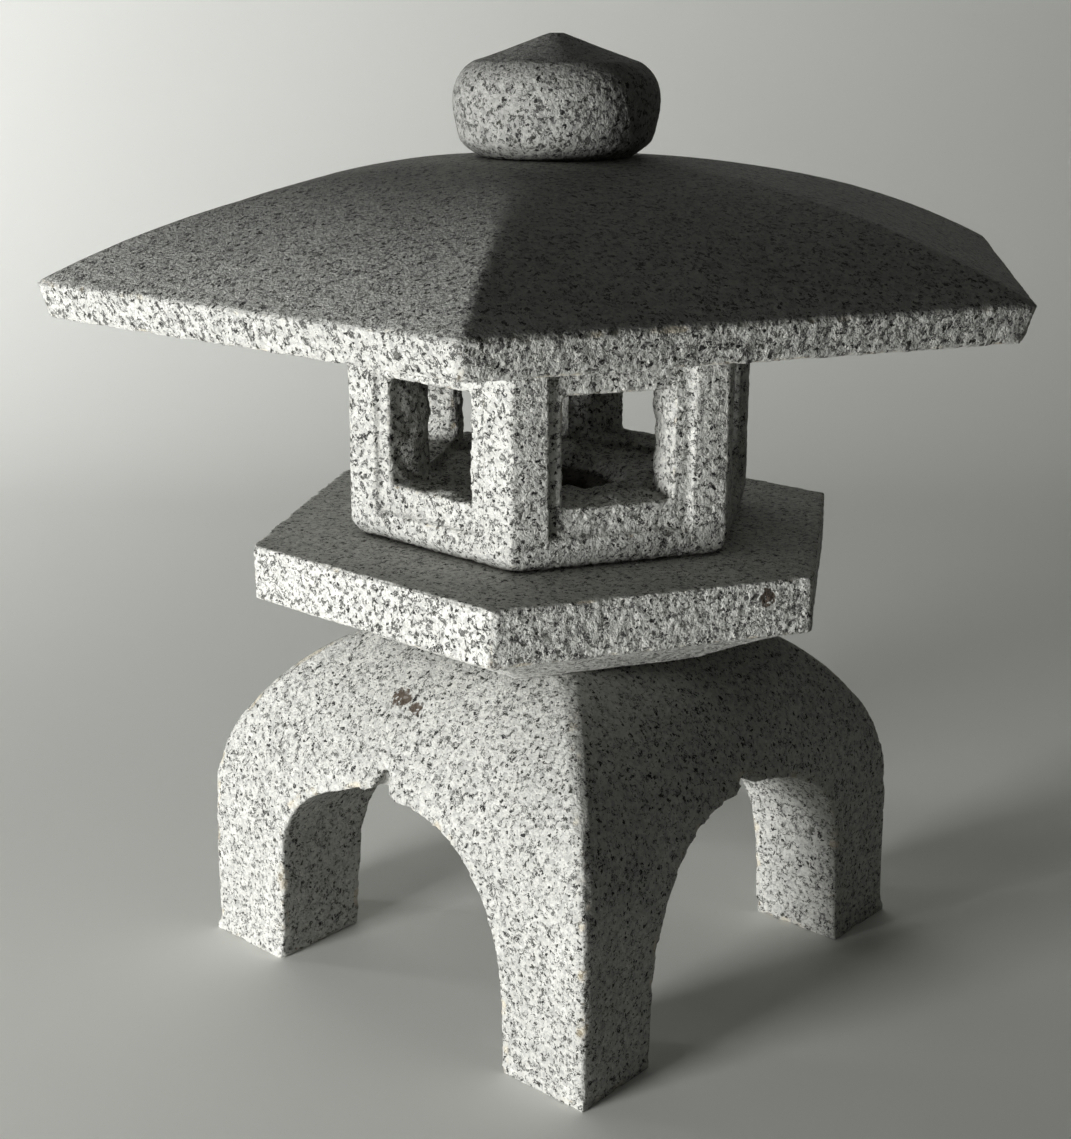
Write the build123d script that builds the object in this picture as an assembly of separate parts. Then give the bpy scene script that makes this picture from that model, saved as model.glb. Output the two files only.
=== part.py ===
from build123d import *
import os

# A small granite snow-viewing lantern: five loose stones stacked on one upright axis.
# Sizes are in millimetres and angles in degrees. The origin is on the ground under the
# middle of the base, and +Z is up. The square base has its faces towards +-X and +-Y.

# Base: a square block with a rounded shoulder, stood on four legs.
FOOT_HALF = 91.0            # half the side of the square at the ground
SHOULDER_HALF = 90.1        # half the side where the sides start to round over
SHOULDER_Z = 54.6           # height where they do
SHOULDER_R = 72.8           # radius of the shoulder
BASE_TOP = 122.4            # the flat that carries the platform

# Arches: each is cut in from its own face until the four meet under the middle.
SPRING_Z = 27.0             # height where the jamb starts to lean in
SPRING_INSET = 1.4          # how far it has come in by then
ARCH_CROWN_Z = 79.0         # underside of the crown
NOTCH_MOUTH = 7.0           # half the width of the shallow notch over the crown, where it opens
NOTCH_NECK = 2.9            # and half-way up
NOTCH_BACK = 78.5           # middle of the base to the back of each notch
ARCHES = [                  # direction of the face; on its left and its right, half width at the
    # ground and at the haunch, seven eighths of the way up; middle and tip of the notch
    (0, (55.5, 36.1), (55.5, 36.1), 1.0, 85.0),
    (90, (53.0, 34.0), (53.0, 33.4), -1.0, 84.0),
    (180, (53.7, 37.0), (56.2, 36.0), -5.0, 87.2),
    (270, (56.4, 35.4), (56.4, 38.9), 2.7, 83.2),
]

# Platform: a flat six-sided slab whose underside tapers in to a smaller flat.
PLATFORM_R = 109.2          # centre to corner
PLATFORM_CORNER = 2.0       # rounding of its upright corners
PLATFORM_RIM_Z = 141.5      # bottom of its flat sides
PLATFORM_TOP = 160.5
PLATFORM_TURN = 0.8         # the stones sit slightly turned on each other
PLATFORM_SHIFT = (-0.4, 0.45)
SEAT_SCALE = 0.6            # size of the flat that it rests on, as a share of its outline
BELLY_POWER = 1.2           # the underside steepens inwards by this power

# Light box: a six-sided hollow block, open at the top, with a window in each side.
LIGHT_BOX_R = 74.9
LIGHT_BOX_TOP = 242.0
LIGHT_BOX_CORNER = 1.6
LIGHT_BOX_ROUND = 7.0       # rounding of its bottom edge
CHAMBER_APOTHEM = 43.5      # middle to the inside of each wall
CHAMBER_CORNER = 6.0
CHAMBER_FLOOR = 178.0
HEAD_Z = 217.6              # top of every window
PANEL_HALF = 24.8           # the shallow sunk panel round each window
PANEL_BOTTOM = 171.5
PANEL_TOP = 228.0
PANEL_DEPTH = 1.8
WINDOWS = [                 # direction of the side, edges either side of its middle, height of the sill
    (0, -19.0, 19.6, 180.2),
    (60, -19.8, 22.0, 180.0),
    (120, -22.5, 19.0, 181.0),
    (180, -19.6, 18.0, 181.2),
    (240, -19.7, 18.4, 181.2),
    (300, -19.0, 19.0, 181.0),
]
FLOOR_HOLE_R = 15.7         # hole through the floor and on down into the platform
FLOOR_HOLE_BOTTOM = 137.0
FLOOR_CONE_R = 25.2         # its countersink
FLOOR_CONE_DEPTH = 7.5

# Roof: a wide six-sided slab with softly curved slopes.
ROOF_RIM_R = 174.5          # centre to corner at the top of the rim
ROOF_EAVES_R = 171.0        # centre to corner at the bottom of the rim
ROOF_RIM_Z = 253.4
ROOF_APEX = 288.0           # where the slopes would meet
ROOF_POWER = 2.3            # the slopes steepen outwards by this power of the distance
ROOF_TURN = 2.7
ROOF_CORNER = 2.0
CROWN_R = 29.0              # flat that carries the finial
CROWN_CORNER = 22.0         # the ridges have almost faded out there

# Finial: a flattened ball with a small nib.
FINIAL_R = 35.0
FINIAL_WIDEST_Z = 304.6
FINIAL_TOP = 327.3
FINIAL_SEAT_R = 25.6
NIB_R = 2.3
FINIAL_SHIFT = (-0.4, 0.4)  # it sits a little to one side in its socket

# Locating joints between the stones: a round tenon in a slightly wider round socket.
FIT_GAP = 0.7               # radial clearance
END_GAP = 1.5               # clearance past the end of the tenon
BASE_TENON_R = 22.0         # under the platform
BASE_TENON_LENGTH = 10.0
BOX_TENON_R = 26.0          # under the light box, round its floor hole
BOX_TENON_LENGTH = 6.0
ROOF_BOSS_R = 41.8          # under the roof, in the open top of the light box
ROOF_BOSS_LENGTH = 5.0
FINIAL_TENON_R = 14.0
FINIAL_TENON_LENGTH = 14.0

OVERCUT = 2.0               # how far a cutting shape runs past the surface it cuts


def hexagon(radius, corner, z, turn=0):
    """A rounded hexagon with its flats towards +-X, at height z."""
    outline = RegularPolygon(radius, 6, rotation=30 + turn)
    outline = fillet(outline.vertices(), corner)
    return Pos(0, 0, z) * outline


def hexagon_prism(radius, corner, z_low, z_high, turn=0):
    return extrude(hexagon(radius, corner, z_low, turn), z_high - z_low)


def disc(radius, z_low, z_high):
    return Pos(0, 0, z_low) * Cylinder(
        radius, z_high - z_low, align=(Align.CENTER, Align.CENTER, Align.MIN)
    )


def shoulder_block():
    """The base's outline pushed through along Y. Its sides lean in a little, then round over."""
    centre_x = SHOULDER_HALF - SHOULDER_R
    seat_x = centre_x + (SHOULDER_R**2 - (BASE_TOP - SHOULDER_Z) ** 2) ** 0.5
    side = Line((FOOT_HALF, 0), (SHOULDER_HALF, SHOULDER_Z))
    shoulder = RadiusArc((SHOULDER_HALF, SHOULDER_Z), (seat_x, BASE_TOP), -SHOULDER_R)
    half = Curve() + [side, shoulder]
    seat = Line((seat_x, BASE_TOP), (-seat_x, BASE_TOP))
    ground = Line((-FOOT_HALF, 0), (FOOT_HALF, 0))
    outline = make_face(Plane.XZ * (Curve() + [half, mirror(half, about=Plane.YZ), seat, ground]))
    return extrude(outline, FOOT_HALF + OVERCUT, both=True)


def crown_cusp(side, notch_middle):
    """Where one side of the notch meets the crown of the arch."""
    return (notch_middle + side * NOTCH_MOUTH, ARCH_CROWN_Z)


def opening_side(side, half_widths, notch_middle):
    """Half of an arch's outline, from below the ground to the notch at its crown."""
    at_ground, at_haunch = half_widths
    spring = (side * (at_ground - SPRING_INSET), SPRING_Z)
    haunches = [
        (side * 1.335 * at_haunch, 0.70 * ARCH_CROWN_Z),
        (side * at_haunch, 0.88 * ARCH_CROWN_Z),
        (side * 0.53 * at_haunch, 0.975 * ARCH_CROWN_Z),
    ]
    jamb = Polyline((side * at_ground, -OVERCUT), (side * at_ground, 0), spring)
    lobe_points = [spring, *haunches, crown_cusp(side, notch_middle)]
    return [jamb, Spline(lobe_points, tangents=[(-0.05 * side, 1), (-side, 0.1)])]


def notch_side(side, notch_middle, notch_tip):
    """Half of a notch's outline, from the crown of the arch up to its tip."""
    height = notch_tip - ARCH_CROWN_Z
    throat = (notch_middle + side * 0.6 * NOTCH_MOUTH, ARCH_CROWN_Z + 0.18 * height)
    neck = (notch_middle + side * NOTCH_NECK, ARCH_CROWN_Z + 0.5 * height)
    cheek = (notch_middle + side * 0.75 * NOTCH_NECK, ARCH_CROWN_Z + 0.85 * height)
    mouth = ThreePointArc(crown_cusp(side, notch_middle), throat, neck)
    return [mouth, ThreePointArc(neck, cheek, (notch_middle, notch_tip))]


def outwards(outline, near, far):
    """An outline on the XZ plane, pushed through from near to far along -Y."""
    return Pos(0, -(near + far) / 2, 0) * extrude(outline, (far - near) / 2, both=True)


def arch(direction, left, right, notch_middle, notch_tip):
    """One arched opening, cut from its face in to the middle, and the shallow notch over it."""
    crown = Line(crown_cusp(-1, notch_middle), crown_cusp(1, notch_middle))
    below = Line((-left[0], -OVERCUT), (right[0], -OVERCUT))
    sides = opening_side(-1, left, notch_middle) + opening_side(1, right, notch_middle)
    opening = make_face(Plane.XZ * (Curve() + [*sides, crown, below]))
    sides = notch_side(-1, notch_middle, notch_tip) + notch_side(1, notch_middle, notch_tip)
    notch = make_face(Plane.XZ * (Curve() + [*sides, crown]))
    cut = outwards(opening, 0, FOOT_HALF + OVERCUT) + outwards(notch, NOTCH_BACK, FOOT_HALF + OVERCUT)
    return Rot(0, 0, direction + 90) * cut


def base():
    block = shoulder_block()
    stone = block & (Rot(0, 0, 90) * block)
    for outline in ARCHES:
        stone -= arch(*outline)
    socket_floor = BASE_TOP - BASE_TENON_LENGTH - END_GAP
    return stone - disc(BASE_TENON_R + FIT_GAP, socket_floor, BASE_TOP + OVERCUT)


def belly():
    """The underside of the platform, from the bottom of its sides in to the flat that it rests on."""
    depth = PLATFORM_RIM_Z - BASE_TOP
    steps = 4
    sections = []
    for step in range(steps + 1):
        share = step / steps
        radius = PLATFORM_R * (1 - (1 - SEAT_SCALE) * share)
        sections.append(hexagon(radius, PLATFORM_CORNER, PLATFORM_RIM_Z - depth * share**BELLY_POWER))
    return loft(sections)


def platform():
    stone = hexagon_prism(PLATFORM_R, PLATFORM_CORNER, PLATFORM_RIM_Z, PLATFORM_TOP) + belly()
    stone += disc(BASE_TENON_R, BASE_TOP - BASE_TENON_LENGTH, BASE_TOP + OVERCUT)
    socket_floor = PLATFORM_TOP - BOX_TENON_LENGTH - END_GAP
    stone -= disc(BOX_TENON_R + FIT_GAP, socket_floor, PLATFORM_TOP + OVERCUT)
    stone -= disc(FLOOR_HOLE_R, FLOOR_HOLE_BOTTOM, PLATFORM_TOP)
    return Pos(*PLATFORM_SHIFT) * Rot(0, 0, PLATFORM_TURN) * stone


def window(direction, low, high, sill):
    """The opening through one wall and the shallow sunk panel round it."""
    apothem = LIGHT_BOX_R * 3**0.5 / 2
    opening_length = apothem - CHAMBER_APOTHEM / 2 + OVERCUT
    opening = Box(opening_length, high - low, HEAD_Z - sill, align=(Align.MIN, Align.MIN, Align.MIN))
    opening = Pos(CHAMBER_APOTHEM / 2, low, sill) * opening
    panel = Box(
        PANEL_DEPTH + OVERCUT,
        2 * PANEL_HALF,
        PANEL_TOP - PANEL_BOTTOM,
        align=(Align.MIN, Align.CENTER, Align.MIN),
    )
    panel = Pos(apothem - PANEL_DEPTH, 0, PANEL_BOTTOM) * panel
    return Rot(0, 0, direction) * (opening + panel)


def light_box():
    stone = hexagon_prism(LIGHT_BOX_R, LIGHT_BOX_CORNER, PLATFORM_TOP, LIGHT_BOX_TOP)
    stone = fillet(stone.faces().sort_by(Axis.Z)[0].edges(), LIGHT_BOX_ROUND)
    chamber_r = CHAMBER_APOTHEM * 2 / 3**0.5
    stone -= hexagon_prism(chamber_r, CHAMBER_CORNER, CHAMBER_FLOOR, LIGHT_BOX_TOP + OVERCUT)
    for opening in WINDOWS:
        stone -= window(*opening)
    tenon_end = PLATFORM_TOP - BOX_TENON_LENGTH
    stone += disc(BOX_TENON_R, tenon_end, PLATFORM_TOP + OVERCUT)
    stone -= disc(FLOOR_HOLE_R, tenon_end - OVERCUT, CHAMBER_FLOOR)
    cone = Cone(FLOOR_HOLE_R, FLOOR_CONE_R, FLOOR_CONE_DEPTH, align=(Align.CENTER, Align.CENTER, Align.MAX))
    return stone - Pos(0, 0, CHAMBER_FLOOR) * cone


def slope_z(radius):
    """Height of a ridge at this distance from the axis."""
    return ROOF_APEX - (ROOF_APEX - ROOF_RIM_Z) * (radius / ROOF_RIM_R) ** ROOF_POWER


def roof_slopes():
    steps = 6
    sections = []
    for step in range(steps + 1):
        share = step / steps
        radius = ROOF_RIM_R + (CROWN_R - ROOF_RIM_R) * share
        corner = ROOF_CORNER + (CROWN_CORNER - ROOF_CORNER) * share**2
        sections.append(hexagon(radius, corner, slope_z(radius)))
    return loft(sections)


def roof():
    eaves = hexagon(ROOF_EAVES_R, ROOF_CORNER, LIGHT_BOX_TOP)
    rim = hexagon(ROOF_RIM_R, ROOF_CORNER, ROOF_RIM_Z)
    stone = loft([eaves, rim], ruled=True) + roof_slopes()
    stone += disc(ROOF_BOSS_R, LIGHT_BOX_TOP - ROOF_BOSS_LENGTH, LIGHT_BOX_TOP + OVERCUT)
    crown_z = slope_z(CROWN_R)
    socket_floor = crown_z - FINIAL_TENON_LENGTH - END_GAP
    stone -= disc(FINIAL_TENON_R + FIT_GAP, socket_floor, crown_z + OVERCUT)
    return Rot(0, 0, ROOF_TURN) * stone


def finial():
    """Turned about its axis: a nib, a dished top, a full round belly and a flat seat."""
    seat_z = slope_z(CROWN_R)
    top = Line((0, FINIAL_TOP), (NIB_R, FINIAL_TOP))
    lip = (0.80 * FINIAL_R, FINIAL_TOP - 9.0)
    dish = Spline([(NIB_R, FINIAL_TOP), (0.35 * FINIAL_R, FINIAL_TOP - 3.7), lip])
    belly_points = [
        lip,
        (0.945 * FINIAL_R, FINIAL_WIDEST_Z + 8.8),
        (FINIAL_R, FINIAL_WIDEST_Z),
        (0.945 * FINIAL_R, FINIAL_WIDEST_Z - 9.4),
        (FINIAL_SEAT_R, seat_z),
    ]
    round_side = Spline(belly_points, tangents=[(1, -0.55), (-1, -0.65)])
    seat = Line((FINIAL_SEAT_R, seat_z), (0, seat_z))
    axis = Line((0, seat_z), (0, FINIAL_TOP))
    outline = make_face(Plane.XZ * (Curve() + [top, dish, round_side, seat, axis]))
    stone = revolve(outline, Axis.Z)
    stone += disc(FINIAL_TENON_R, seat_z - FINIAL_TENON_LENGTH, seat_z + OVERCUT)
    return Pos(*FINIAL_SHIFT) * stone


STONES = {
    "base": base,
    "platform": platform,
    "light_box": light_box,
    "roof": roof,
    "finial": finial,
}

os.makedirs("parts", exist_ok=True)
for name, make in STONES.items():
    export_step(make(), f"parts/{name}.step")
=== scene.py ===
import math

import bpy
import numpy as np
from mathutils import Matrix, Vector


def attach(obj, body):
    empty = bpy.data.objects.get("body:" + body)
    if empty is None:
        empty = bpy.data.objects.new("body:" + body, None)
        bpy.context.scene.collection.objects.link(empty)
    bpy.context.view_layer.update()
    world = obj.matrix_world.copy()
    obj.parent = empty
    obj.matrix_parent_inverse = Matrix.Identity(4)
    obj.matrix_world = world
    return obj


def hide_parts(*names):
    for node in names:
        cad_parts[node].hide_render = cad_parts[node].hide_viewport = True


# A small granite snow-viewing lantern: five loose stones stacked on one upright axis.
# Lengths are in metres.

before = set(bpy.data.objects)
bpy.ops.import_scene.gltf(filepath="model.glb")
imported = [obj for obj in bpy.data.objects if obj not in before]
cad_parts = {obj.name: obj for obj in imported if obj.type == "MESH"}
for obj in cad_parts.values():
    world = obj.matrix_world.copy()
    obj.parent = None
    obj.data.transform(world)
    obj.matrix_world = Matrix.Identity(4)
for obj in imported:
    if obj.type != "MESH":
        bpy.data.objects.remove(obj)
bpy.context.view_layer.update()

MM = 0.001


# ---------------------------------------------------------------- camera

CAMERA_PLACE = Vector((-0.4632, -0.3998, 0.3286))
CAMERA_HEADING = math.radians(41.48)
CAMERA_PITCH = math.radians(-17.06)
CAMERA_ROLL = math.radians(0.07)
SENSOR = 36.0                             # millimetres, along the long side of the picture
LENS = 55.688


def add_camera():
    forward = Vector((
        math.cos(CAMERA_HEADING) * math.cos(CAMERA_PITCH),
        math.sin(CAMERA_HEADING) * math.cos(CAMERA_PITCH),
        math.sin(CAMERA_PITCH),
    ))
    right = Vector((math.sin(CAMERA_HEADING), -math.cos(CAMERA_HEADING), 0))
    up = right.cross(forward)
    rolled_right = math.cos(CAMERA_ROLL) * right + math.sin(CAMERA_ROLL) * up
    rolled_up = math.cos(CAMERA_ROLL) * up - math.sin(CAMERA_ROLL) * right
    data = bpy.data.cameras.new("camera")
    data.sensor_width = SENSOR
    data.lens = LENS
    camera = bpy.data.objects.new("camera", data)
    bpy.context.scene.collection.objects.link(camera)
    place = Matrix((rolled_right, rolled_up, -forward)).transposed().to_4x4()
    place.translation = CAMERA_PLACE
    camera.matrix_world = place
    bpy.context.scene.camera = camera


# ---------------------------------------------------------------- repeatable noise on vertices

def random_at(cells, seed):
    """Repeatable numbers from 0 to 1 for rows of whole numbers."""
    mask = np.int64(0xFFFFFFFF)
    h = cells[..., 0] * 73856093 ^ cells[..., 1] * 19349663 ^ cells[..., 2] * 83492791
    h = (h ^ np.int64(seed * 7919 + 17)) & mask
    h = ((h ^ (h >> 15)) * 2246822519) & mask
    h = ((h ^ (h >> 13)) * 3266489917) & mask
    h = h ^ (h >> 16)
    return (h & 0xFFFFFF) / float(0x1000000)


def smooth_noise(points, size, seed):
    """Smooth noise from -1 to 1 with features of this size."""
    q = points / size + seed * 3.71
    low = np.floor(q).astype(np.int64)
    t = q - low
    t = t * t * t * (t * (t * 6 - 15) + 10)
    total = np.zeros(len(points))
    for corner in range(8):
        step = np.array([corner & 1, corner >> 1 & 1, corner >> 2 & 1])
        weight = np.prod(np.where(step, t, 1 - t), axis=1)
        total += weight * random_at(low + step, seed)
    return total * 2 - 1


def layered_noise(points, size, octaves, seed, gain=0.5):
    """Smooth noise from -1 to 1, and finer noise on it, each octave half the size of the last."""
    total, amount, norm = np.zeros(len(points)), 1.0, 0.0
    for octave in range(octaves):
        total += amount * smooth_noise(points, size / 2**octave, seed + octave)
        norm += amount
        amount *= gain
    return total / norm


def pecks(points, size, seed):
    """Distance to the nearest of scattered points, in units of their spacing."""
    q = points / size
    low = np.floor(q).astype(np.int64)
    best = np.full(len(points), 9.0)
    for ix in (-1, 0, 1):
        for iy in (-1, 0, 1):
            for iz in (-1, 0, 1):
                cell = low + np.array([ix, iy, iz])
                centre = np.stack([random_at(cell, seed + k) for k in range(3)], axis=1) + cell
                best = np.minimum(best, np.sum((centre - q) ** 2, axis=1))
    return np.sqrt(best)


def ramp(value, low, high):
    """A smooth step: 0 up to low, 1 from high."""
    t = np.clip((value - low) / (high - low), 0, 1)
    return t * t * (3 - 2 * t)


# ---------------------------------------------------------------- stone meshes

WELD_GAP = 0.005 * MM
FACES_LIMIT = 195000
ARRIS_BULGE = (0.10 * MM, 0.45 * MM)      # how far smoothing moves a point: not at all worn, and fully
HOLLOW_BULGE = (0.15 * MM, 0.60 * MM)
CHIP_SIZE = 6 * MM


def apply_modifiers(obj):
    graph = bpy.context.evaluated_depsgraph_get()
    mesh = bpy.data.meshes.new_from_object(obj.evaluated_get(graph))
    old = obj.data
    obj.modifiers.clear()
    obj.data = mesh
    if old.users == 0:
        bpy.data.meshes.remove(old)


def vertices(mesh):
    flat = np.empty(len(mesh.vertices) * 3, dtype=np.float32)
    mesh.vertices.foreach_get("co", flat)
    return flat.reshape(-1, 3).astype(np.float64)


def normals(mesh):
    flat = np.empty(len(mesh.vertices) * 3, dtype=np.float32)
    mesh.vertices.foreach_get("normal", flat)
    return flat.reshape(-1, 3).astype(np.float64)


def set_vertices(mesh, points):
    mesh.vertices.foreach_set("co", points.astype(np.float32).ravel())
    mesh.update()


def store(mesh, name, values):
    attribute = mesh.attributes.new(name, "FLOAT", "POINT")
    attribute.data.foreach_set("value", values.astype(np.float32))


def even_mesh(node, voxel):
    """A copy of a CAD solid with small, even faces."""
    obj = bpy.data.objects.new(node + "_stone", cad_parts[node].data.copy())
    bpy.context.scene.collection.objects.link(obj)
    obj.data.materials.clear()
    weld = obj.modifiers.new("closed", "WELD")
    weld.merge_threshold = WELD_GAP
    remesh = obj.modifiers.new("even", "REMESH")
    remesh.mode = "VOXEL"
    remesh.voxel_size = voxel * 1
    remesh.adaptivity = 0
    apply_modifiers(obj)
    return obj


def smoothed(obj, rounds):
    """The vertices after so many rounds of smoothing."""
    modifier = obj.modifiers.new("smooth", "SMOOTH")
    modifier.factor = 0.5
    modifier.iterations = rounds
    graph = bpy.context.evaluated_depsgraph_get()
    evaluated = obj.evaluated_get(graph)
    points = vertices(evaluated.data)
    obj.modifiers.remove(modifier)
    return points


def limit_faces(obj):
    triangles = 2 * len(obj.data.polygons)
    if triangles > FACES_LIMIT:
        decimate = obj.modifiers.new("fewer", "DECIMATE")
        decimate.ratio = FACES_LIMIT / triangles
        apply_modifiers(obj)


def carve(node, look):
    """A stone from its CAD solid: an even mesh with worn arrises and the tool marks in its surface."""
    obj = even_mesh(node, look["voxel"])
    crisp = smoothed(obj, look["crisp"])
    worn = smoothed(obj, look["worn"])
    set_vertices(obj.data, crisp)
    outward = normals(obj.data)
    bulge = np.sum((crisp - worn) * outward, axis=1)
    arris = ramp(bulge, *ARRIS_BULGE)
    hollow = ramp(-bulge, *HOLLOW_BULGE)
    cut = look["shape"](crisp, outward)
    chip_noise = layered_noise(crisp, CHIP_SIZE, 4, 41, 0.65)
    chipping = cut["chipping"]
    chips = arris * ramp(chip_noise, 0.20 - 0.5 * chipping, 0.38 - 0.5 * chipping)
    bite = np.clip(cut["rounding"] * arris + look["chip_depth"] * chips, 0, 1)
    points = crisp + (worn - crisp) * bite[:, None]
    points += outward * (cut["lift"] * (1 - 0.3 * arris))[:, None]
    points[:, 2] = np.maximum(points[:, 2], 0)
    set_vertices(obj.data, points)
    store(obj.data, "wear", arris * (0.35 + 0.65 * ramp(chip_noise, -0.1, 0.4)))
    store(obj.data, "hammered", cut["hammered"])
    # Painted shade: darker in the hollows and creases, and wherever each stone's cut paints more.
    store(obj.data, "painted_shade", np.clip(0.28 * hollow + cut["painted_shade"], 0, 1))
    limit_faces(obj)
    obj.data.polygons.foreach_set("use_smooth", [True] * len(obj.data.polygons))
    return obj


# ---------------------------------------------------------------- how each stone is cut

GROUND_BAND = 2 * MM                      # the feet are flat up to here
LEG_CORNER = (70 * MM, 78 * MM)           # from the middle planes out to the base's corners
FOOT_EDGE = (1 * MM, 8 * MM)
CROWN_HEIGHTS = (80 * MM, 95 * MM)        # where the base's corners become well rounded
PLATFORM_HOLE = (18 * MM, 160 * MM, 2 * MM)   # radius, top, and how far below it the painted shade fades in
RAGGED_FROM = 66 * MM                     # the light box is ragged from just outside its faces inwards
WAVY_FROM = 62.5 * MM                     # and wavy from a little behind them
FLOOR_HOLE = (21 * MM, 178 * MM, 3 * MM)  # the same for the hole in its floor
SEAT_TOP = 162.6 * MM                     # and its bottom edge has painted contact shade below this
ROOF_TURN = 2.7                           # degrees that the roof is turned on the light box
ROOF_RIM = 120 * MM                       # sides that stand up beyond this are the roof's rim


def hex_distance(points, turn):
    """Distance out to the nearest side of a hexagon, whose flats face +-X before this turn in degrees."""
    best = np.zeros(len(points))
    for k in range(6):
        a = math.radians(turn + 60 * k)
        best = np.maximum(best, points[:, 0] * math.cos(a) + points[:, 1] * math.sin(a))
    return best


def in_hole(points, hole):
    """1 down in a hole on the upright axis, 0 outside it."""
    radius, top, fade = hole
    within = ramp(radius - np.hypot(points[:, 0], points[:, 1]), 0, 2 * MM)
    return within * ramp(top - points[:, 2], 0, fade)


def hammer_marks(points, size, seed):
    """Rough relief left by a bush hammer, from about -1.5 to 1."""
    coarse = layered_noise(points, size, 3, seed, 0.7)
    pits = ramp(0.55 - pecks(points, size * 0.8, seed + 9), 0, 0.4)
    return coarse * 1.3 - 0.8 * pits


def upright(outward):
    """1 on sides that stand up, 0 on faces that lie flat."""
    return ramp(1 - np.abs(outward[:, 2]), 0.45, 0.8)


def underneath(outward):
    """1 on faces that look down."""
    return ramp(-outward[:, 2], 0.5, 0.9)


def cut_as(points, lift=0, hammered=0, chipping=0, rounding=0, painted_shade=0):
    """What a mason does to each point, and where shade is painted: metres to move out, then shares from 0 to
    1.
    """
    blank = np.zeros(len(points))
    shares = {"lift": lift, "hammered": hammered, "chipping": chipping, "rounding": rounding, "painted_shade": painted_shade}
    return {name: blank + value for name, value in shares.items()}


def base_shape(points, outward):
    low = 0.35 * MM * layered_noise(points, 45 * MM, 2, 3)
    fine = 0.08 * MM * layered_noise(points, 3 * MM, 2, 5)
    tunnel = ramp(-outward[:, 2], -0.2, 0.4) * (points[:, 2] > GROUND_BAND)
    reach = np.minimum(np.abs(points[:, 0]), np.abs(points[:, 1]))
    corner = ramp(reach, *LEG_CORNER) * ramp(points[:, 2], *FOOT_EDGE)
    crown = ramp(points[:, 2], *CROWN_HEIGHTS)
    return cut_as(
        points,
        lift=low + fine * (1 + 1.5 * tunnel),
        hammered=0.38 + 0.3 * tunnel,
        chipping=0.15,
        rounding=np.maximum(0.5 * corner, crown),
    )


def platform_shape(points, outward):
    side = upright(outward)
    under = underneath(outward)
    low = 0.25 * MM * layered_noise(points, 30 * MM, 2, 13)
    marks = hammer_marks(points, 3.2 * MM, 17)
    return cut_as(
        points,
        lift=low + MM * marks * (0.05 + 0.27 * side + 0.12 * under),
        hammered=0.4 + 0.6 * side + 0.2 * under,
        chipping=0.45,
        # Painted shade down the hole in the middle.
        painted_shade=0.8 * in_hole(points, PLATFORM_HOLE),
    )


def light_box_shape(points, outward):
    inset = hex_distance(points, 0)
    inner = ramp(WAVY_FROM - inset, 0, 7 * MM)
    ragged = ramp(RAGGED_FROM - inset, 0, 3 * MM)
    low = 0.3 * MM * layered_noise(points, 26 * MM, 2, 23)
    waves = 2.3 * layered_noise(points, 12 * MM, 2, 27) + 0.9 * layered_noise(points, 5 * MM, 2, 28)
    marks = hammer_marks(points, 3.0 * MM, 29)
    edge_marks = hammer_marks(points, 2.2 * MM, 53)
    seat = ramp(SEAT_TOP - points[:, 2], 0, 2 * MM)
    return cut_as(
        points,
        lift=low + MM * waves * inner + MM * marks * (0.20 + 0.12 * inner) + 0.3 * MM * edge_marks * ragged,
        hammered=0.75 + 0.1 * inner,
        chipping=0.3 + 0.4 * ragged,
        # Painted shade inside the chamber, down the hole in its floor and along its bottom edge where it
        # sits on the platform.
        painted_shade=0.15 * inner + in_hole(points, FLOOR_HOLE) + seat,
    )


def roof_shape(points, outward):
    side = upright(outward) * (hex_distance(points, ROOF_TURN) > ROOF_RIM)
    under = underneath(outward)
    low = 0.45 * MM * layered_noise(points, 55 * MM, 2, 33)
    marks = hammer_marks(points, 3.8 * MM, 37)
    return cut_as(
        points,
        lift=low + MM * marks * (0.05 + 0.27 * side + 0.12 * under),
        hammered=0.42 + 0.58 * side + 0.2 * under,
        chipping=0.42,
    )


def finial_shape(points, outward):
    low = 0.35 * MM * layered_noise(points, 20 * MM, 2, 43)
    marks = hammer_marks(points, 2.6 * MM, 47)
    sides = ramp(1 - outward[:, 2], 0.2, 0.6)
    return cut_as(
        points,
        lift=low + MM * marks * (0.05 + 0.13 * sides),
        hammered=0.3 + 0.5 * sides,
        chipping=0.2,
        rounding=0.1,
    )


# ---------------------------------------------------------------- materials

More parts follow.
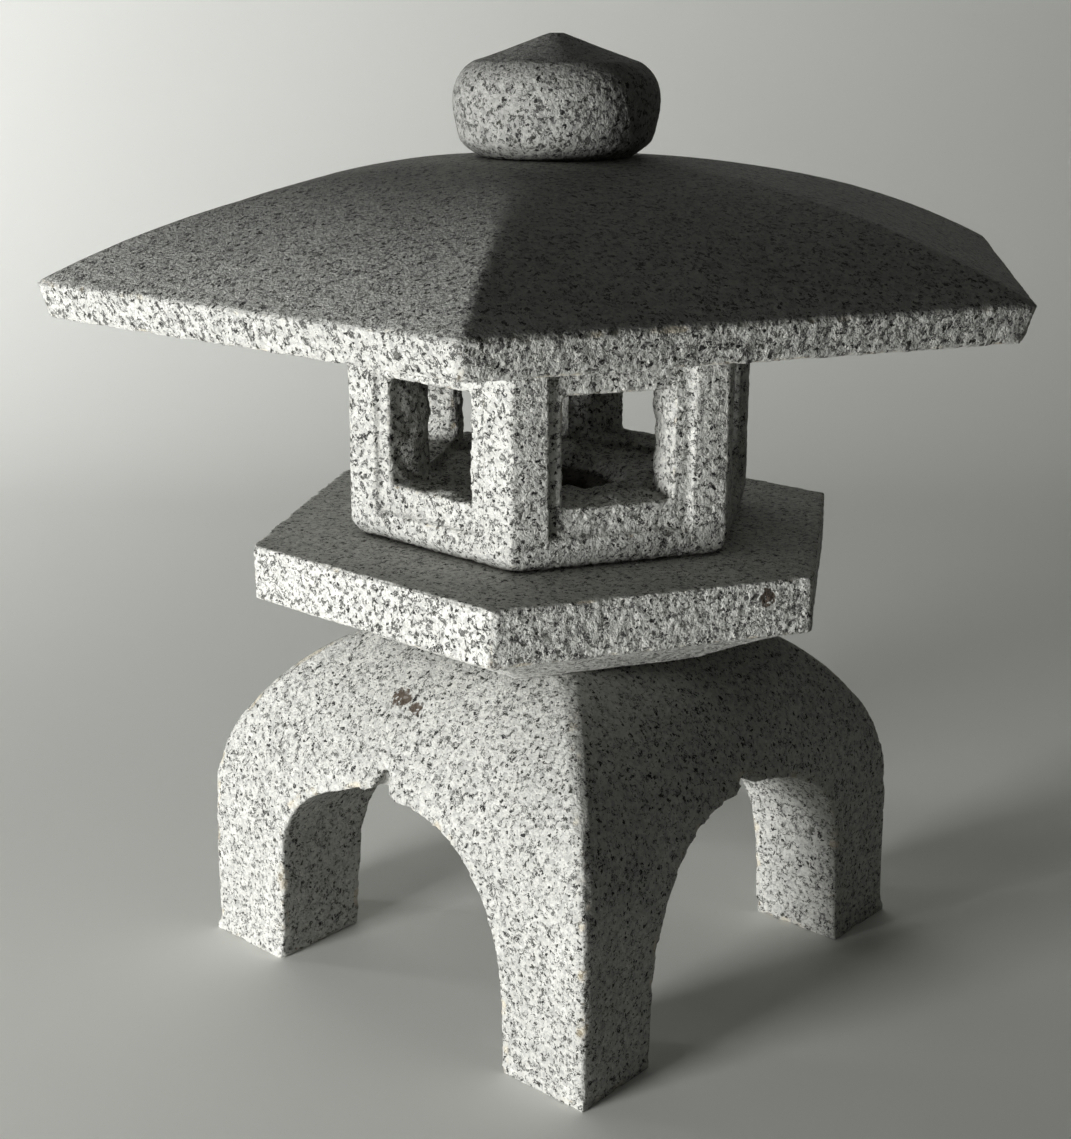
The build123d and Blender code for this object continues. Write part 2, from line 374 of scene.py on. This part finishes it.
class Tree:
    """Short calls for building a material's nodes."""

    def __init__(self, material):
        material.use_nodes = True
        self.tree = material.node_tree
        self.tree.nodes.clear()

    def node(self, kind, inputs=(), **settings):
        made = self.tree.nodes.new(kind)
        for key, value in settings.items():
            setattr(made, key, value)
        for key, value in dict(inputs).items():
            socket = made.inputs[key]
            if isinstance(value, bpy.types.NodeSocket):
                self.tree.links.new(value, socket)
            else:
                socket.default_value = value
        return made

    def place(self):
        return self.node("ShaderNodeTexCoord").outputs["Object"]

    def attribute(self, name):
        return self.node("ShaderNodeAttribute", attribute_name=name).outputs["Fac"]

    def math(self, operation, a, b=0.0, c=0.0):
        return self.node("ShaderNodeMath", {0: a, 1: b, 2: c}, operation=operation).outputs[0]

    def vector(self, operation, a, b=(0, 0, 0), scale=1.0):
        made = self.node("ShaderNodeVectorMath", {0: a, 1: b, 3: scale}, operation=operation)
        return made.outputs[1 if operation == "DISTANCE" else 0]

    def span(self, value, low, high, to_low=0.0, to_high=1.0, smooth=True):
        made = self.node(
            "ShaderNodeMapRange",
            {"Value": value, 1: low, 2: high, 3: to_low, 4: to_high},
            interpolation_type="SMOOTHSTEP" if smooth else "LINEAR",
        )
        return made.outputs[0]

    def mix(self, factor, a, b, blend="MIX"):
        made = self.node("ShaderNodeMix", {0: factor, 6: a, 7: b}, data_type="RGBA", blend_type=blend)
        return made.outputs[2]

    def shade(self, colour, factor, low, high):
        """The colour times one grey where the factor is 0, and times another where it is 1."""
        return self.mix(1.0, colour, self.mix(factor, low, high), "MULTIPLY")

    def noise(self, place, scale, detail=2.0, roughness=0.5):
        made = self.node(
            "ShaderNodeTexNoise",
            {"Vector": place, "Scale": scale, "Detail": detail, "Roughness": roughness},
        )
        return made.outputs[0]

    def wander(self, place, scale):
        """A random vector at each place, from about -0.5 to 0.5 along each axis."""
        made = self.node(
            "ShaderNodeTexNoise", {"Vector": place, "Scale": scale, "Detail": 2.0, "Roughness": 0.5}
        )
        return self.vector("SUBTRACT", made.outputs[1], (0.5, 0.5, 0.5))

    def moved(self, place, direction, distance):
        return self.vector("ADD", place, self.vector("SCALE", direction, scale=distance))

    def cells(self, place, size):
        """The distance to the middle of each cell, and its three random numbers."""
        made = self.node("ShaderNodeTexVoronoi", {"Vector": place, "Scale": 1 / size, "Randomness": 1.0})
        random = self.node("ShaderNodeSeparateColor", {0: made.outputs["Color"]}).outputs
        return made.outputs["Distance"], random

    def finish(self, inputs):
        shader = self.node("ShaderNodeBsdfPrincipled", inputs)
        self.node("ShaderNodeOutputMaterial", {"Surface": shader.outputs[0]})


def grey(value, warmth=0.0):
    """A near-neutral colour, a little yellow where warmth is above 0."""
    return (value, value, value * (1 - warmth), 1)


GRAIN_SIZE = 1.15 * MM
PEPPER_SIZE = 0.95 * MM
GRAIN_WANDER = 1.6 * MM                   # how far the grains' outlines stray
FLECK_WANDER = 3.4 * MM                   # and the flecks', which are more ragged
FLECK_JITTER = 1.7 * MM
RUST_WANDER = 7 * MM
BUMP_DEPTH = 0.5 * MM

WANDERS = 520                             # features to the metre of each pattern
JITTERS = 2100
HAZES = 900
MOTTLES = 240
CLOUDS = 28
STRANDS = 560
BREAKS = 430
PATCHES = 160
COARSE_MARKS = 520
FINE_MARKS = 1300

WORN_COLOUR = (0.60, 0.52, 0.37, 1)
RUST_COLOUR = (0.060, 0.042, 0.028, 1)
UNSHADED = (1, 1, 1, 1)
# The colour of the painted shade.
PAINTED_SHADE_COLOUR = (0.16, 0.15, 0.13, 1)

RUST = [                                  # stone, place on its surface, radius, strength
    ("base", (-0.0672, 0.0118, 0.1072), 0.0046, 0.95),
    ("base", (-0.0690, 0.0035, 0.1058), 0.0030, 0.9),
    ("base", (0.0500, -0.0910, 0.0035), 0.0060, 0.6),
    ("platform", (-0.0132, -0.1010, 0.1549), 0.0030, 0.95),
    ("platform", (-0.0941, -0.0558, 0.1433), 0.0032, 0.35),
]


def ground_colour(t, place, grain, tone):
    """Feldspar and quartz grains, with haze in them, mottling and slow changes of tone."""
    pale = t.mix(grain[1], grey(0.62 * tone, 0.05), grey(0.53 * tone, 0.05))
    quartz = t.mix(grain[2], grey(0.49 * tone, 0.04), grey(0.39 * tone, 0.03))
    colour = t.mix(t.span(grain[0], 0.45, 0.95), pale, quartz)
    haze = t.noise(place, HAZES, 4.0, 0.65)
    mottle = t.noise(place, MOTTLES, 3.0, 0.6)
    cloud = t.noise(place, CLOUDS, 3.0)
    colour = t.shade(colour, t.span(haze, 0.3, 0.7), grey(0.86), grey(1.05))
    colour = t.shade(colour, t.span(mottle, 0.3, 0.7), grey(0.89), grey(1.05))
    return t.shade(colour, t.span(cloud, 0.3, 0.7), grey(0.90), grey(1.0))


def mica_flecks(t, place, dark_share, fleck_size):
    """Ragged black flecks and a fine pepper of them. Also one random number to each fleck."""
    distance, fleck = t.cells(place, fleck_size)
    reach = t.span(fleck[0], 1 - dark_share, 1 - 0.4 * dark_share, 0.0, 0.48, False)
    flecks = t.span(t.math("SUBTRACT", reach, distance), 0.0, 0.04)
    distance, pepper = t.cells(place, PEPPER_SIZE)
    reach = t.span(pepper[1], 0.85, 0.97, 0.0, 0.48, False)
    peppered = t.span(t.math("SUBTRACT", reach, distance), 0.0, 0.08, 0.0, 0.75)
    return t.math("MAXIMUM", flecks, peppered), fleck[2]


def mica_and_pit_shade_strokes(t, place, ragged_place, hammered):
    """Thin broken black strokes: partly the stone's own dark flecks and, wider where it is hammered, painted
    shade in the hammer pits.
    """
    strand = t.noise(ragged_place, STRANDS, 1.0)
    width = t.math("MULTIPLY_ADD", hammered, 0.045, 0.035)
    off_line = t.math("DIVIDE", t.math("ABSOLUTE", t.math("SUBTRACT", strand, 0.5)), width)
    broken = t.span(t.noise(place, BREAKS, 1.0), 0.50, 0.55)
    return t.math("MULTIPLY", t.span(off_line, 1.0, 0.5), broken)


def with_rust(t, colour, node, place, wander, grain):
    for owner, centre, radius, strength in RUST:
        if owner == node:
            away = t.vector("DISTANCE", t.moved(place, wander, RUST_WANDER), centre)
            spot = t.span(away, radius, radius * 0.7, 0.0, strength)
            spot = t.math("MULTIPLY", spot, t.span(grain[1], 0.02, 0.12))
            colour = t.mix(spot, colour, RUST_COLOUR)
    return colour


def relief_normal(t, place, hammered, mica_and_pit_shade, grain_distance, strength):
    """Relief finer than the mesh: tool marks, plucked black flecks and strokes, and rounded grains."""
    fine = t.noise(place, FINE_MARKS, 3.0, 0.65)
    coarse = t.noise(place, COARSE_MARKS, 3.0, 0.7)
    height = t.math("MULTIPLY_ADD", coarse, t.math("MULTIPLY", hammered, 2.4), t.math("MULTIPLY", fine, 0.8))
    plucked = t.math("MULTIPLY", mica_and_pit_shade, t.math("MULTIPLY_ADD", hammered, 0.6, 0.15))
    height = t.math("SUBTRACT", height, plucked)
    height = t.math("SUBTRACT", height, t.math("MULTIPLY", grain_distance, 0.3))
    bump = t.node("ShaderNodeBump", {"Strength": strength, "Distance": BUMP_DEPTH, "Height": height})
    return bump.outputs[0]


def granite(node, dark_share, fleck_size, tone, relief):
    material = bpy.data.materials.new(node + "_granite")
    t = Tree(material)
    place = t.place()
    hammered = t.attribute("hammered")
    wander = t.wander(place, WANDERS)
    grain_distance, grain = t.cells(t.moved(place, wander, GRAIN_WANDER), GRAIN_SIZE)
    jagged_place = t.moved(place, t.wander(place, JITTERS), FLECK_JITTER)
    ragged_place = t.moved(jagged_place, wander, FLECK_WANDER)

    flecks, fleck_random = mica_flecks(t, ragged_place, dark_share, fleck_size)
    strokes = mica_and_pit_shade_strokes(t, place, ragged_place, hammered)
    # The strokes are partly mica and partly painted shade in the hammer pits.
    mica_and_pit_shade = t.math("MAXIMUM", flecks, t.math("MULTIPLY", strokes, 0.85))
    mica_and_pit_shade_colour = t.mix(t.span(fleck_random, 0.5, 1.0), grey(0.008), grey(0.035, 0.2))
    colour = t.mix(t.math("MULTIPLY", mica_and_pit_shade, 0.98), ground_colour(t, place, grain, tone), mica_and_pit_shade_colour)

    # Chipped and worn arrises are fresher and a little yellow, in patches.
    patch = t.noise(place, PATCHES, 3.0)
    worn = t.math("MULTIPLY", t.span(t.attribute("wear"), 0.3, 0.9), t.span(patch, 0.44, 0.62))
    colour = t.mix(t.math("MULTIPLY", worn, 0.45), colour, WORN_COLOUR)
    colour = with_rust(t, colour, node, place, wander, grain)
    # Painted shade: darker in hollows, down the holes, inside the chamber and along the light box's seat.
    colour = t.shade(colour, t.attribute("painted_shade"), UNSHADED, PAINTED_SHADE_COLOUR)

    t.finish({
        "Base Color": colour,
        "Roughness": t.span(mica_and_pit_shade, 0.0, 1.0, 0.86, 0.6),
        "Specular IOR Level": 0.3,
        "Normal": relief_normal(t, place, hammered, mica_and_pit_shade, grain_distance, relief),
    })
    return material


# ---------------------------------------------------------------- the stones

def stone_look(shape, slot, voxel, crisp, worn, chip_depth, dark_share, fleck_size, tone, relief):
    """crisp and worn are rounds of smoothing: for the surface as cut, and for its worn arrises."""
    return {
        "shape": shape,
        "slot": slot,
        "voxel": voxel,
        "crisp": crisp,
        "worn": worn,
        "chip_depth": chip_depth,
        "granite": (dark_share, fleck_size, tone, relief),
    }


# The tones are painted light and shade: one granite is made darker on the roof and the finial and lighter on
# the platform, for how the light falls on each stone.
STONES = {
    "base": stone_look(
        base_shape, "dressed_granite", voxel=0.85 * MM, crisp=2, worn=110, chip_depth=0.30,
        dark_share=0.24, fleck_size=1.45 * MM, tone=0.97, relief=0.85,
    ),
    "platform": stone_look(
        platform_shape, "hammered_granite", voxel=0.75 * MM, crisp=2, worn=40, chip_depth=0.60,
        dark_share=0.24, fleck_size=1.45 * MM, tone=1.11, relief=0.9,
    ),
    "light_box": stone_look(
        light_box_shape, "hammered_granite", voxel=0.75 * MM, crisp=1, worn=40, chip_depth=0.60,
        dark_share=0.28, fleck_size=1.5 * MM, tone=1.0, relief=0.9,
    ),
    "roof": stone_look(
        roof_shape, "dressed_granite", voxel=1.0 * MM, crisp=1, worn=30, chip_depth=0.60,
        dark_share=0.27, fleck_size=1.6 * MM, tone=0.90, relief=0.9,
    ),
    "finial": stone_look(
        finial_shape, "dressed_granite", voxel=0.55 * MM, crisp=2, worn=40, chip_depth=0.60,
        dark_share=0.27, fleck_size=1.5 * MM, tone=0.70, relief=0.9,
    ),
}


def add_stones():
    for node, look in STONES.items():
        stone = carve(node, look)
        stone.data.materials.append(granite(node, *look["granite"]))
        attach(stone, node)
        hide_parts(node)


# ---------------------------------------------------------------- stage and light

SWEEP_START = 0.62                        # how far behind the stones the backdrop starts to curve up
SWEEP_RADIUS = 0.75
SWEEP_TOP = 2.2
SWEEP_STEPS = 24
STAGE_REACH = 3.0

WORLD_COLOUR = (0.97, 1.0, 0.91, 1)
WORLD_STRENGTH = 0.035


def sweep_profile():
    """Distance behind the stones and height, along the floor and up the backdrop."""
    profile = [(-STAGE_REACH, 0.0), (SWEEP_START, 0.0)]
    for step in range(1, SWEEP_STEPS + 1):
        a = math.pi / 2 * step / SWEEP_STEPS
        profile.append((SWEEP_START + SWEEP_RADIUS * math.sin(a), SWEEP_RADIUS * (1 - math.cos(a))))
    return profile + [(SWEEP_START + SWEEP_RADIUS, SWEEP_TOP)]


def pale_cloth():
    material = bpy.data.materials.new("pale_cloth")
    t = Tree(material)
    cloud = t.noise(t.place(), 3.0, 2.0)
    t.finish({
        "Base Color": t.mix(cloud, (0.80, 0.805, 0.775, 1), (0.84, 0.845, 0.815, 1)),
        "Roughness": 0.9,
        "Specular IOR Level": 0.2,
    })
    return material


def add_stage():
    """A plain pale floor that sweeps up into a backdrop behind the stones."""
    profile = sweep_profile()
    along = Vector((math.cos(CAMERA_HEADING), math.sin(CAMERA_HEADING), 0))
    across = Vector((-along.y, along.x, 0))
    points = []
    for d, z in profile:
        for side in (-STAGE_REACH, STAGE_REACH):
            points.append(along * d + across * side + Vector((0, 0, z)))
    faces = [(2 * k, 2 * k + 2, 2 * k + 3, 2 * k + 1) for k in range(len(profile) - 1)]
    mesh = bpy.data.meshes.new("floor")
    mesh.from_pydata(points, [], faces)
    mesh.polygons.foreach_set("use_smooth", [True] * len(faces))
    mesh.materials.append(pale_cloth())
    floor = bpy.data.objects.new("floor", mesh)
    bpy.context.scene.collection.objects.link(floor)


def add_area(name, azimuth, distance, height, aim, size, power, colour=(1, 1, 1)):
    """A rectangular light. The azimuth is in degrees round from +X, and the distance is level."""
    data = bpy.data.lights.new(name, "AREA")
    data.shape = "RECTANGLE"
    data.size, data.size_y = size
    data.energy = power
    data.color = colour
    light = bpy.data.objects.new(name, data)
    bpy.context.scene.collection.objects.link(light)
    a = math.radians(azimuth)
    light.location = (distance * math.cos(a), distance * math.sin(a), height)
    light.rotation_mode = "QUATERNION"
    light.rotation_quaternion = (Vector(aim) - light.location).to_track_quat("-Z", "Y")
    light.visible_camera = False


def add_light():
    add_area(
        "key", azimuth=172, distance=1.0, height=0.10, aim=(0, 0, 0.12),
        size=(0.30, 0.18), power=14.8, colour=(1.0, 1.0, 0.985),
    )
    add_area(
        "fill", azimuth=40, distance=1.5, height=0.9, aim=(0, 0, 0.1),
        size=(1.2, 0.8), power=3.9, colour=(1.0, 1.0, 0.94),
    )
    add_area(
        "wall", azimuth=120, distance=1.3, height=0.5, aim=(0.35, 1.6, 0.30), size=(0.8, 0.8), power=14.0
    )
    world = bpy.data.worlds.new("world")
    bpy.context.scene.world = world
    world.use_nodes = True
    background = world.node_tree.nodes["Background"]
    background.inputs["Color"].default_value = WORLD_COLOUR
    background.inputs["Strength"].default_value = WORLD_STRENGTH
    bpy.context.scene.view_settings.view_transform = "Standard"


add_camera()
add_stones()
add_stage()
add_light()
